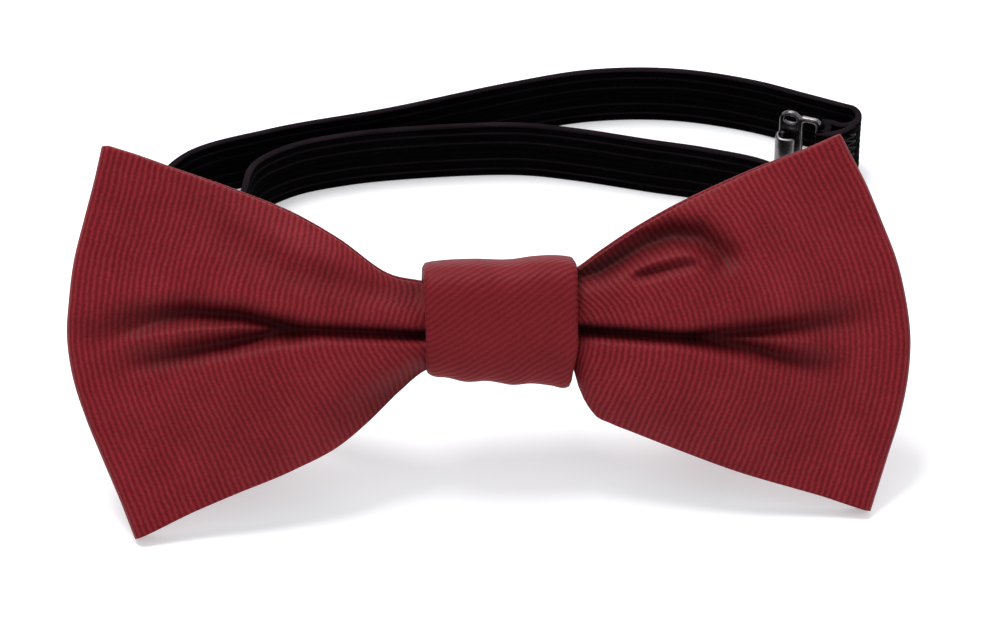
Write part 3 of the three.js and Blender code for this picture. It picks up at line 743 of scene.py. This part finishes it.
SLOT_HALF = BAND_WIDTH / 2 + 0.4  # half the height of the slot that a strap passes
SLOT_FAR = FOLD_RADIUS + BAND_THICKNESS / 2 + 0.4
HALF_HEIGHT = SLOT_HALF + 1.1  # of the hook and the eye
HOOK_SHEET = 0.8
HOOK_REACH = 5
HOOK_TONGUE = 5.8
HOOK_WEB = 1.7  # left of the plate above and below its tongue
ARCH_PROUD = 0.25  # how far the hook's arch rises over its loop, at either end
EYE_WIRE = 1.0
EYE_REACH = 6


def bent_strip(points, width, thickness):
    """A strip of sheet metal along a level path of middles, with rounded edges, as mesh data."""
    line = np.array(points, float)
    along = np.gradient(line, axis=0)
    along /= np.linalg.norm(along, axis=1)[:, None]
    out = np.stack([-along[:, 1], along[:, 0]], -1)
    section = rounded_box(-thickness / 2, -width / 2, thickness / 2, width / 2, thickness * 0.42, 4)
    verts = [
        (x + ox * t, y + oy * t, z) for (x, y), (ox, oy) in zip(line, out) for t, z in section
    ]
    n = len(section)
    faces = [
        (r * n + c, r * n + (c + 1) % n, (r + 1) * n + (c + 1) % n, (r + 1) * n + c)
        for r in range(len(line) - 1) for c in range(n)
    ]
    faces += [tuple(range(n))[::-1], tuple((len(line) - 1) * n + c for c in range(n))]
    mesh = bpy.data.meshes.new("strip")
    mesh.from_pydata(verts, [], faces)
    weld(mesh)
    return mesh


def hook_piece():
    """A loop round the strap's fold, an arched plate, and its tongue curled back over the plate."""
    bar = HOOK_SHEET / 2
    low_edge = HALF_HEIGHT - 0.3
    loop = plate("hook_loop", [
        rounded_box(-bar, -low_edge, SLOT_FAR + 0.9, low_edge, 0.9),
        rounded_box(bar, -SLOT_HALF, SLOT_FAR, SLOT_HALF, 0.5),
    ], HOOK_SHEET, 0.28)

    arch_end = HALF_HEIGHT + ARCH_PROUD
    high_hole = rounded_box(
        SLOT_FAR + 1.1, HOOK_TONGUE / 2 + HOOK_WEB, HOOK_REACH + 0.4, HALF_HEIGHT - 0.5, 0.6,
    )
    body = plate("hook_plate", [
        rounded_box(SLOT_FAR + 0.2, -arch_end, HOOK_REACH + 1.2, arch_end, 1.75, 8),
        high_hole, [(x, -z) for x, z in high_hole],
    ], HOOK_SHEET * 0.96, 0.28)

    radius = EYE_WIRE / 2 + 0.2 + bar
    start = [(HOOK_REACH - 1.2 + 0.3 * k, 0) for k in range(4)]
    bend = [
        (HOOK_REACH + radius * math.sin(a), radius - radius * math.cos(a))
        for a in np.radians(np.linspace(0, 180, 15))
    ]
    back = [(HOOK_REACH - 0.35 * k, 2 * radius - 0.02 * k * k) for k in range(1, 6)]
    tongue = bent_strip(start + bend + back, HOOK_TONGUE, HOOK_SHEET * 0.94)
    turn = math.atan2(hook_along[1], hook_along[0])
    return joined("hook_metal", [loop, body, tongue], turn, (*HOOK_BAR, CARRIED))


def eye_piece():
    bar = EYE_WIRE / 2
    body = plate("eye_plate", [
        rounded_box(-bar, -HALF_HEIGHT, EYE_REACH, HALF_HEIGHT, 1.4, 7),
        rounded_box(bar, -SLOT_HALF, EYE_REACH - EYE_WIRE, SLOT_HALF, 0.5),
    ], EYE_WIRE, 0.42)
    return joined("eye_metal", [body], -math.pi / 2, (*EYE_BAR, CARRIED))


SLIDER_Y = 35.3
SLIDER_LENGTH = 6


def slider_piece():
    """A sleeve with two pockets, one for each layer of the doubled strap."""
    pocket = BAND_THICKNESS + 0.6
    web = 0.7
    wall = 0.9
    width = web + pocket + wall
    height = SLOT_HALF + wall
    outlines = [rounded_box(-width, -height, width, height, 0.8)]
    for left in (-web - pocket, web):
        outlines.append(rounded_box(left, -SLOT_HALF, left + pocket, SLOT_HALF, 0.25, 3))
    body = plate("slider_sleeve", outlines, SLIDER_LENGTH, 0.25)
    return joined("slider_metal", [body], 0, (EYE_BAR[0], SLIDER_Y, CARRIED))


def thread(name, points, radius, place):
    """Round sewing thread through points in mm, placed by on_bow or on_table."""
    p = np.array(points, float)
    along = np.gradient(p, axis=0)
    along /= np.linalg.norm(along, axis=1)[:, None]
    side = np.cross(along, [0.31, 0.52, 0.79])
    side /= np.linalg.norm(side, axis=1)[:, None]
    up = np.cross(along, side)
    angle = np.linspace(0, 2 * np.pi, 8, endpoint=False)
    ring = p[:, None] + radius * (
        side[:, None] * np.cos(angle)[:, None] + up[:, None] * np.sin(angle)[:, None]
    )
    run = run_along(p)
    uvs = np.stack(np.broadcast_arrays(run[:, None], angle), -1)
    return grid_mesh(name, place(ring), uvs, capped=True)


TACK_THREAD = 0.14
TACK_WIDTH = 2.2
TACK_HEIGHT = 8.2
TACK_PASSES = 13
STEPS_PER_STITCH = 8
SLIP_THREAD = 0.16
SLIP_STITCHES = 8
SEAM_LENGTH = KNOT_HALF_WIDTH * 2 - 4


def bar_tack(origin, across, up, out):
    """Points of a dense zigzag of thread, sewn up the strap's width about a place."""
    across, up, out = (np.array(way, float) for way in (across, up, out))
    points = []
    steps = TACK_PASSES * STEPS_PER_STITCH
    for k in range(steps + 1):
        swing = math.asin(0.98 * math.sin(math.pi * k / STEPS_PER_STITCH)) * 2 / math.pi
        rise = (k / steps - 0.5) * TACK_HEIGHT
        lift = 0.12 * math.cos(swing * math.pi / 2)
        points.append(origin + across * swing * TACK_WIDTH / 2 + up * rise + out * lift)
    return points


def slip_stitches():
    """Points of the thread that closes the wrap behind, over and under its lap."""
    points = []
    steps = SLIP_STITCHES * STEPS_PER_STITCH
    for k in range(steps + 1):
        turn = 2 * math.pi * k / STEPS_PER_STITCH
        x = (k / steps - 0.5) * SEAM_LENGTH + 0.5 * math.sin(turn)
        points.append((x, KNOT_BACK - 0.6 + 0.28 * math.cos(turn), LAP_LINE + 0.45 * math.cos(turn)))
    return points


# ---------------------------------------------------------------- materials


class Nodes:
    """Small helper that adds nodes to one material and links them."""

    def __init__(self, name):
        self.material = bpy.data.materials.new(name)
        self.material.use_nodes = True
        self.tree = self.material.node_tree
        self.shader = self.tree.nodes["Principled BSDF"]

    def add(self, kind, inputs=None, **settings):
        node = self.tree.nodes.new(kind)
        for key, value in settings.items():
            setattr(node, key, value)
        for key, value in (inputs or {}).items():
            self.set(node.inputs[key], value)
        return node

    def set(self, socket, value):
        if isinstance(value, bpy.types.NodeSocket):
            self.tree.links.new(value, socket)
        else:
            socket.default_value = value

    def cloth_map(self):
        """The Cloth map, in mm: whole, along and across."""
        uv = self.add("ShaderNodeUVMap", uv_map="Cloth").outputs["UV"]
        split = self.add("ShaderNodeSeparateXYZ", {"Vector": uv})
        return uv, split.outputs["X"], split.outputs["Y"]

    def place(self):
        return self.add("ShaderNodeTexCoord").outputs["Object"]

    def math(self, operation, a, b=0.0, c=None):
        """Two values combined; MULTIPLY_ADD adds a third to their product."""
        node = self.add("ShaderNodeMath", operation=operation)
        self.set(node.inputs[0], a)
        self.set(node.inputs[1], b)
        if c is not None:
            self.set(node.inputs[2], c)
        return node.outputs[0]

    def weighted(self, *parts):
        """Sum of values, each with its weight."""
        total = None
        for value, weight in parts:
            part = self.math("MULTIPLY", value, weight)
            total = part if total is None else self.math("ADD", total, part)
        return total

    def mix(self, factor, a, b, blend="MIX"):
        node = self.add("ShaderNodeMix", data_type="RGBA", blend_type=blend)
        for socket, value in ((0, factor), (6, a), (7, b)):
            self.set(node.inputs[socket], value)
        return node.outputs[2]

    def noise(self, vector, scale, detail=3.0):
        node = self.add("ShaderNodeTexNoise", {"Scale": scale, "Detail": detail, "Vector": vector})
        return node.outputs["Fac"]

    def ramp(self, factor, stops):
        node = self.add("ShaderNodeValToRGB", {"Fac": factor})
        elements = node.color_ramp.elements
        while len(elements) < len(stops):
            elements.new(0.5)
        for element, (position, colour) in zip(elements, stops):
            element.position = position
            element.color = (*colour, 1)
        return node.outputs["Color"]

    def bump(self, height, distance, strength):
        inputs = {"Height": height, "Distance": distance, "Strength": strength}
        return self.add("ShaderNodeBump", inputs).outputs["Normal"]

    def shade(self, **values):
        for key, value in values.items():
            self.set(self.shader.inputs[key.replace("_", " ")], value)
        return self.material


def linear(r, g, b):
    """Linear colour from 8-bit display values."""
    return tuple(
        ((c / 255 + 0.055) / 1.055) ** 2.4 if c > 10 else c / 255 / 12.92 for c in (r, g, b)
    )


YARN = 0.34  # one twist of the yarn along a rib, in mm
PAINTED_PLEAT_SHADE = (0.2, 0.12, 0.12, 1)  # painted shade: what the deepest pleats leave of the cloth's colour


def ribbed_cloth(name, direction, period, dark, middle, light):
    """Burgundy cloth whose ribs follow lines of constant u*direction[0] + v*direction[1]."""
    n = Nodes(name)
    uv, u, v = n.cloth_map()
    place = n.place()
    across = n.weighted(
        (u, direction[0]), (v, direction[1]), (n.noise(uv, 0.35, 2.0), 0.5), (n.noise(uv, 2.2, 2.0), 0.22),
    )
    wave = n.math("SINE", n.math("MULTIPLY", across, 2 * math.pi / period))
    rib = n.math("MULTIPLY_ADD", wave, 0.5, 0.5)
    along = n.weighted((v, direction[0]), (u, -direction[1]))
    yarn = n.math("MULTIPLY", n.math("SINE", n.math("MULTIPLY", along, 2 * math.pi / YARN)), rib)
    mottle = n.noise(place, 180.0, 4.0)
    fleck = n.noise(place, 2600.0, 2.0)
    tone = n.weighted((rib, 0.34), (fleck, 0.42), (mottle, 0.3))
    colour = n.ramp(tone, [(0.26, dark), (0.52, middle), (0.82, light)])
    # Painted shade: the fold attribute darkens the cloth's colour in the pleats, where shade falls.
    fold = n.add("ShaderNodeAttribute", attribute_name="fold").outputs["Fac"]
    colour = n.mix(n.math("POWER", fold, 0.8), colour, PAINTED_PLEAT_SHADE, "MULTIPLY")
    normal = n.bump(n.weighted((rib, 1.0), (yarn, 0.16), (fleck, 0.22)), 0.0001, 0.6)
    n.shade(Base_Color=colour, Roughness=n.math("MULTIPLY_ADD", fleck, 0.22, 0.42), Normal=normal)
    n.shade(Specular_IOR_Level=0.09, Sheen_Weight=0.04, Sheen_Roughness=0.4)
    return n.shade(Sheen_Tint=(1.0, 0.62, 0.66, 1))


PICK = 0.55  # from one crossing yarn of the elastic to the next, in mm
YARN_GREY = (0.7, 0.8, 1.0)  # of the two pairs of lengthwise yarns that show, and of the edges


def elastic_weave():
    n = Nodes("black_elastic")
    _, u, v = n.cloth_map()
    fuzz = n.noise(n.place(), 3000.0, 3.0)
    pick = n.math("SINE", n.math("MULTIPLY", u, 2 * math.pi / PICK))
    warp = n.math("SINE", n.math("MULTIPLY", v, 2 * math.pi * BAND_RIBS / BAND_WIDTH))
    weave = n.math("MULTIPLY", pick, warp)
    stretched = n.add("ShaderNodeCombineXYZ", {
        "X": n.math("MULTIPLY", u, 0.12), "Y": n.math("MULTIPLY", v, 3.0),
    }).outputs["Vector"]
    streak = n.noise(stretched, 1.0, 2.0)
    colour = n.ramp(n.weighted((fuzz, 0.45), (streak, 0.55)), [
        (0.38, linear(1, 1, 1)), (0.58, linear(3, 3, 4)), (0.75, linear(16, 14, 17)),
    ])
    from_middle = n.math("ABSOLUTE", n.math("DIVIDE", v, BAND_WIDTH / 2))
    inner, outer, edge = ((grey,) * 3 for grey in YARN_GREY)
    none = (0, 0, 0)
    yarns = n.ramp(from_middle, [
        (0.27, none), (0.33, inner), (0.39, none), (0.64, none), (0.7, outer), (0.76, none),
        (0.92, none), (0.96, edge),
    ])
    colour = n.mix(n.math("MULTIPLY", yarns, streak), colour, (*linear(40, 32, 37), 1))
    normal = n.bump(n.weighted((weave, 0.35), (fuzz, 0.8)), 0.00012, 0.8)
    n.shade(Base_Color=colour, Normal=normal)
    return n.shade(Roughness=0.8, Specular_IOR_Level=0.01)


def dark_nickel():
    n = Nodes("dark_nickel")
    place = n.place()
    smudge = n.noise(place, 420.0, 3.0)
    scratch_space = n.add("ShaderNodeMapping", {"Vector": place, "Scale": (9000.0, 9000.0, 500.0)})
    scratch = n.noise(scratch_space.outputs["Vector"], 1.0, 2.0)
    colour = n.ramp(smudge, [(0.3, linear(90, 87, 91)), (0.7, linear(124, 120, 121))])
    rough = n.math("MULTIPLY_ADD", smudge, 0.22, 0.16)
    n.shade(Base_Color=colour, Roughness=rough, Normal=n.bump(scratch, 0.00002, 0.5))
    return n.shade(Metallic=1.0)


def sewing_thread(name, dark, light):
    """Two-ply thread, for meshes made by thread()."""
    n = Nodes(name)
    _, u, v = n.cloth_map()
    twist = n.math("ADD", n.math("MULTIPLY", u, 2 * math.pi / 0.6), v)
    ply = n.math("SINE", n.math("MULTIPLY", twist, 2.0))
    fuzz = n.noise(n.place(), 4000.0, 2.0)
    tone = n.math("MULTIPLY_ADD", ply, 0.25, 0.3)
    tone = n.math("ADD", tone, n.math("MULTIPLY", fuzz, 0.4))
    colour = n.ramp(tone, [(0.2, dark), (0.8, light)])
    n.shade(Base_Color=colour, Normal=n.bump(n.math("ADD", ply, fuzz), 0.00004, 0.8))
    return n.shade(Roughness=0.55, Specular_IOR_Level=0.2, Sheen_Weight=0.03)


def cad_thread(name, dark, light):
    """Thread for the frame's own sewn pieces, which carry no thread map."""
    n = Nodes(name)
    place = n.place()
    strands = n.add(
        "ShaderNodeTexWave", {"Vector": place, "Scale": 700.0, "Distortion": 2.0, "Detail": 1.0},
    )
    tone = n.weighted((strands.outputs["Fac"], 0.6), (n.noise(place, 4000.0, 2.0), 0.4))
    colour = n.ramp(tone, [(0.2, dark), (0.8, light)])
    n.shade(Base_Color=colour, Normal=n.bump(tone, 0.00006, 0.8))
    return n.shade(Roughness=0.6, Sheen_Weight=0.1)


def felt():
    n = Nodes("stiffening_felt")
    place = n.place()
    fibre = n.noise(place, 1500.0, 5.0)
    cloud = n.noise(place, 160.0, 2.0)
    tone = n.weighted((fibre, 0.6), (cloud, 0.4))
    colour = n.ramp(tone, [(0.3, linear(212, 206, 195)), (0.7, linear(240, 237, 230))])
    n.shade(Base_Color=colour, Normal=n.bump(fibre, 0.0002, 0.6))
    return n.shade(Roughness=0.9, Sheen_Weight=0.3)


FLOOR_GLOW = 0.34  # lifts the shadows on the white backdrop


def pale_table():
    n = Nodes("pale_table")
    grain = n.noise(n.place(), 60.0, 3.0)
    colour = n.ramp(grain, [(0.3, (0.79, 0.80, 0.81)), (0.7, (0.81, 0.815, 0.825))])
    n.shade(Base_Color=colour)
    return n.shade(Roughness=0.7, Emission_Color=(1, 1, 1, 1), Emission_Strength=FLOOR_GLOW)


# ---------------------------------------------------------------- camera and light

VIEW_ELEVATION = math.radians(41)
VIEW_AZIMUTH = math.radians(-3.2)
VIEW_DISTANCE = 0.7
VIEW_WIDTH = 0.1425  # seen at the knot's distance
SENSOR = 36

toward_viewer = np.array([
    math.sin(VIEW_AZIMUTH) * math.cos(VIEW_ELEVATION),
    -math.cos(VIEW_AZIMUTH) * math.cos(VIEW_ELEVATION),
    math.sin(VIEW_ELEVATION),
])
picture_right = np.array([math.cos(VIEW_AZIMUTH), math.sin(VIEW_AZIMUTH), 0])
picture_up = np.cross(toward_viewer, picture_right)
AIM_ABOVE_KNOT = 1.64 * MM

lens = bpy.data.cameras.new("camera")
lens.sensor_width = SENSOR
lens.lens = SENSOR * VIEW_DISTANCE / VIEW_WIDTH
lens.clip_start = 0.01
camera = bpy.data.objects.new("camera", lens)
scene.collection.objects.link(camera)
scene.camera = camera
camera.location = Vector(KNOT + picture_up * AIM_ABOVE_KNOT + toward_viewer * VIEW_DISTANCE)
camera.rotation_euler = Vector(toward_viewer).to_track_quat("Z", "Y").to_euler()


def soft_light(name, place, size, power):
    """A round area light that faces the spot under the bow tie's middle."""
    data = bpy.data.lights.new(name, "AREA")
    data.shape = "DISK"
    data.size = size
    data.energy = power
    lamp = bpy.data.objects.new(name, data)
    scene.collection.objects.link(lamp)
    lamp.location = Vector(place)
    lamp.rotation_euler = Vector(place).to_track_quat("Z", "Y").to_euler()


soft_light("key", (-0.18, 0.18, 0.85), 0.38, 6.7)
soft_light("fill", (0.6, -0.35, 0.5), 0.6, 0.8)
soft_light("rim", (0.15, 0.7, 0.6), 0.5, 1.4)

world = bpy.data.worlds.new("studio")
world.use_nodes = True
sky = world.node_tree.nodes["Background"].inputs
sky["Color"].default_value = (0.93, 0.95, 1.0, 1)
sky["Strength"].default_value = 0.6
scene.world = world
scene.view_settings.view_transform = "Standard"

bpy.ops.mesh.primitive_plane_add(size=6)
floor = bpy.context.object
floor.name = "table_top"
floor.data.materials.append(pale_table())

# ---------------------------------------------------------------- the bow tie

wing_cloth = ribbed_cloth(
    "burgundy_repp", (1, 0), RIB, linear(88, 15, 21), linear(111, 23, 30), linear(138, 38, 45),
)
wrap_slant = math.radians(33)
wrap_cloth = ribbed_cloth(
    "burgundy_repp_on_the_bias", (math.sin(wrap_slant), math.cos(wrap_slant)), 0.83,
    linear(94, 17, 23), linear(108, 23, 29), linear(122, 30, 36),
)
elastic = elastic_weave()
nickel = dark_nickel()
stiffener = felt()
burgundy_thread = sewing_thread("burgundy_thread", linear(60, 14, 20), linear(128, 42, 50))
black_thread = sewing_thread("black_thread", linear(4, 4, 5), linear(20, 19, 21))

SOFT = "bow_and_band"

cloth = finish_piece(bow_fabric(), wing_cloth, SOFT, "ribbed_cloth", "bow_fabric")
stiffening = finish_piece(bow_stiffening(), stiffener, SOFT, "interlining", "bow_interlining")
wrap = finish_piece(knot_wrap(), wrap_cloth, SOFT, "ribbed_cloth", "knot_wrap")
padding = finish_piece(knot_padding(), stiffener, SOFT, "interlining", "knot_interlining")

for name, node, line in (
    ("elastic_left", "band_left", left_line()), ("elastic_right", "band_right", right_line()),
):
    band = finish_piece(strap(name, line), elastic, SOFT, "elastic", node)

finish_piece(hook_piece(), nickel, "hook", "nickel", "hook")
finish_piece(eye_piece(), nickel, "eye", "nickel", "eye")
finish_piece(slider_piece(), nickel, "slider", "nickel", "slider")

hem_share = 0.76  # how far along the hem its tack sits
hem_angle = math.radians(TURN_TO + HEM_ANGLE * hem_share)
hem_out = np.array([math.cos(hem_angle), math.sin(hem_angle), 0])
hem_radius = TURN_RADIUS + 2 * FOLD_RADIUS + (HEM_SPACING - 2 * FOLD_RADIUS) * hem_share
hem_spot = [*TURN_CENTRE, CARRIED] + hem_out * (hem_radius + (BAND_THICKNESS + TACK_THREAD) / 2)
hem_tack = bar_tack(hem_spot, np.cross(TABLE_UP, hem_out), TABLE_UP, hem_out)
finish_piece(
    thread("hook_end_stitches", hem_tack, TACK_THREAD, on_table), black_thread, SOFT,
    "black_thread", "hook_fold_tack",
)
tail_spot = [EYE_BAR[0] - FOLD_RADIUS - (BAND_THICKNESS + TACK_THREAD) / 2, TAIL_END - 1.6, CARRIED]
tail_tack = bar_tack(tail_spot, [0, 1, 0], TABLE_UP, [-1, 0, 0])
finish_piece(
    thread("eye_end_stitches", tail_tack, TACK_THREAD, on_table), black_thread, SOFT,
    "black_thread", "band_end_tack",
)
finish_piece(
    thread("wrap_stitches", slip_stitches(), SLIP_THREAD, on_bow), burgundy_thread, SOFT,
    "burgundy_thread", "knot_seam_thread",
)

red_sewing = cad_thread("hidden_burgundy_thread", linear(60, 14, 20), linear(128, 42, 50))
black_sewing = cad_thread("hidden_black_thread", linear(10, 9, 11), linear(40, 37, 42))
for node, material in (
    ("bow_back_seam", red_sewing), ("waist_binding_thread", red_sewing),
    ("band_tack_left", black_sewing), ("band_tack_right", black_sewing),
):
    for material_slot in frame["nodes"][node].material_slots:
        material_slot.material = material
